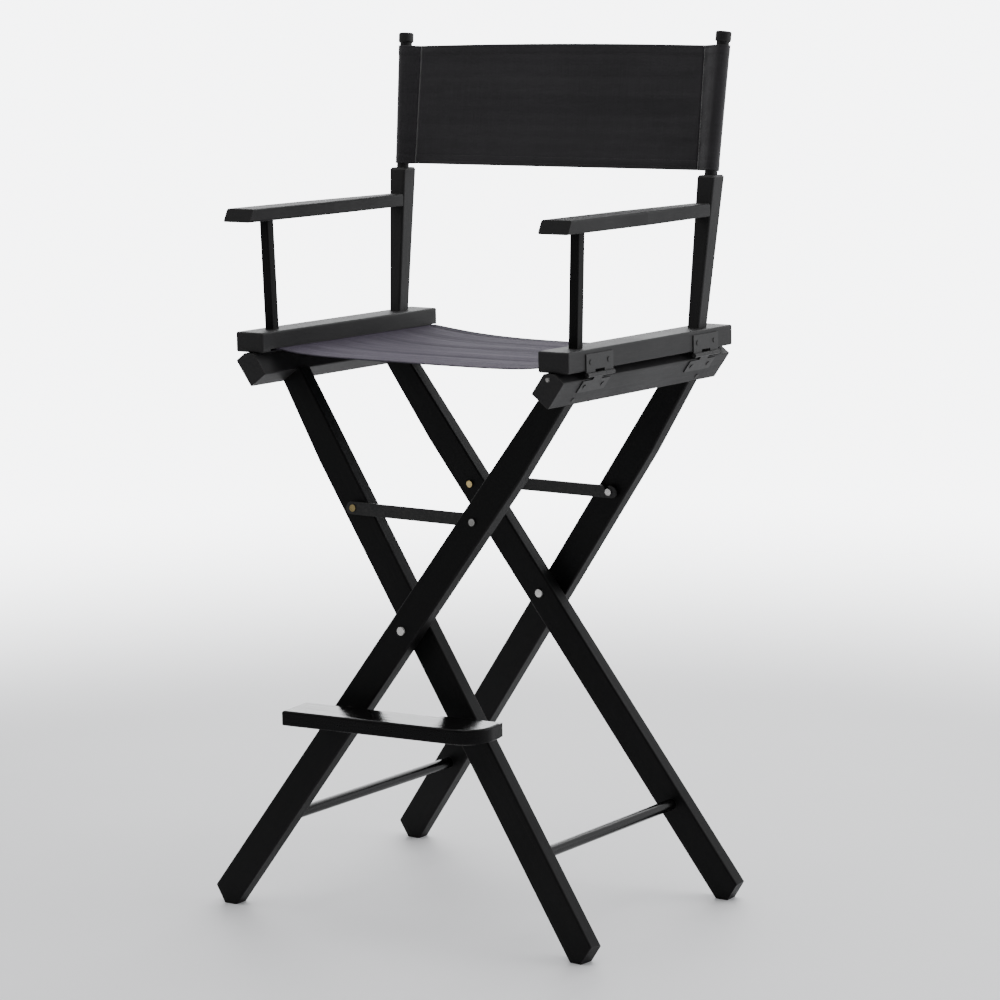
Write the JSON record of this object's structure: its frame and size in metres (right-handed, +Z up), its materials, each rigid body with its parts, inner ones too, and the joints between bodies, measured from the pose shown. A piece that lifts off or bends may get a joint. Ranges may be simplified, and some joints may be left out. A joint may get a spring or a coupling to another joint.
{
  "type": "folding director chair",
  "caption": "Tall folding wooden director chair with crossed splayed legs, slung canvas seat and back, flat armrests and a footrest.",
  "frame": {"origin": "on the floor, under the middle of the chair's bounding box", "axes": "+Z up, -Y towards the front of the chair, +X towards its left side"},
  "size_m": [0.6012, 0.4769, 1.168],
  "materials": {
    "painted_wood": "satin black paint over wood",
    "black_steel": "satin black",
    "steel_rod": "bright",
    "bright_steel": "polished",
    "brass": "polished",
    "seat_canvas": "woven canvas with a soft sheen",
    "back_canvas": "woven canvas"
  },
  "bodies": {
    "left_arm": {"seat_rail_left": "painted_wood", "front_post_left": "painted_wood", "armrest_left": "painted_wood", "back_post_left": "painted_wood", "back_upright_left": "painted_wood", "upright_cap_left": "painted_wood", "seat_hem_rod_left": "steel_rod", "hinge_leaves_upper_left": "black_steel", "hinge_pins_left": "black_steel", "hinge_screws_upper_left": "black_steel", "seat_canvas": "seat_canvas", "back_canvas": "back_canvas"},
    "right_arm": {"seat_rail_right": "painted_wood", "front_post_right": "painted_wood", "armrest_right": "painted_wood", "back_post_right": "painted_wood", "back_upright_right": "painted_wood", "upright_cap_right": "painted_wood", "seat_hem_rod_right": "steel_rod", "hinge_leaves_upper_right": "black_steel", "hinge_pins_right": "black_steel", "hinge_screws_upper_right": "black_steel"},
    "inner_legs": {"leg_inner_front": "painted_wood", "leg_inner_rear": "painted_wood", "lower_rail_left": "painted_wood", "stretcher_dowel_inner": "painted_wood", "hinge_leaves_lower_left": "black_steel", "hinge_screws_lower_left": "black_steel", "leg_screws_left": "black_steel", "link_pins": "brass", "footrest_peg": "bright_steel"},
    "outer_legs": {"leg_outer_front": "painted_wood", "leg_outer_rear": "painted_wood", "lower_rail_right": "painted_wood", "stretcher_dowel_outer": "painted_wood", "hinge_leaves_lower_right": "black_steel", "hinge_screws_lower_right": "black_steel", "leg_screws_right": "black_steel", "link_studs": "bright_steel", "pivot_rivets": "bright_steel", "pivot_spacers": "bright_steel", "rail_end_screw": "bright_steel", "footrest_pin": "bright_steel"},
    "link_front": {"link_bar_front": "black_steel"},
    "link_rear": {"link_bar_rear": "black_steel"},
    "footrest": {"footrest_board": "painted_wood", "footrest_block": "painted_wood", "footrest_strap": "black_steel"}
  },
  "joints": [
    {"name": "fold", "type": "hinge", "parent": "left_arm", "child": "inner_legs", "pos_m": [-0.272, 0.0364, 0.748], "axis": [0, 1, 0], "range_deg": [0, 30], "deforming": ["seat_canvas", "back_canvas"]},
    {"name": "crossing", "type": "hinge", "parent": "inner_legs", "child": "outer_legs", "pos_m": [0, 0, 0.401], "axis": [0, 1, 0], "range_deg": [-60, 0]},
    {"name": "right_arm_hinge", "type": "hinge", "parent": "outer_legs", "child": "right_arm", "pos_m": [0.272, 0.0364, 0.748], "axis": [0, 1, 0], "range_deg": [0, 30]},
    {"name": "front_link", "type": "hinge", "parent": "inner_legs", "child": "link_front", "pos_m": [-0.10756, -0.11467, 0.54905], "axis": [0, 0.9951, -0.0984], "range_deg": [0, 44]},
    {"name": "rear_link", "type": "hinge", "parent": "inner_legs", "child": "link_rear", "pos_m": [-0.10756, 0.17145, 0.54905], "axis": [0, 0.9973, 0.074], "range_deg": [0, 44]},
    {"name": "footrest_fold", "type": "hinge", "parent": "outer_legs", "child": "footrest", "pos_m": [-0.08064, -0.17308, 0.29], "axis": [-0.1219, 0.9925, 0], "range_deg": [-38, 0]}
  ],
  "couplings": [
    {"joint": "crossing", "follows": "fold", "ratio": -2},
    {"joint": "right_arm_hinge", "follows": "fold", "ratio": 1},
    {"joint": "front_link", "follows": "fold", "ratio": 1.4666},
    {"joint": "rear_link", "follows": "fold", "ratio": 1.4666},
    {"joint": "footrest_fold", "follows": "fold", "ratio": -1.2666}
  ]
}
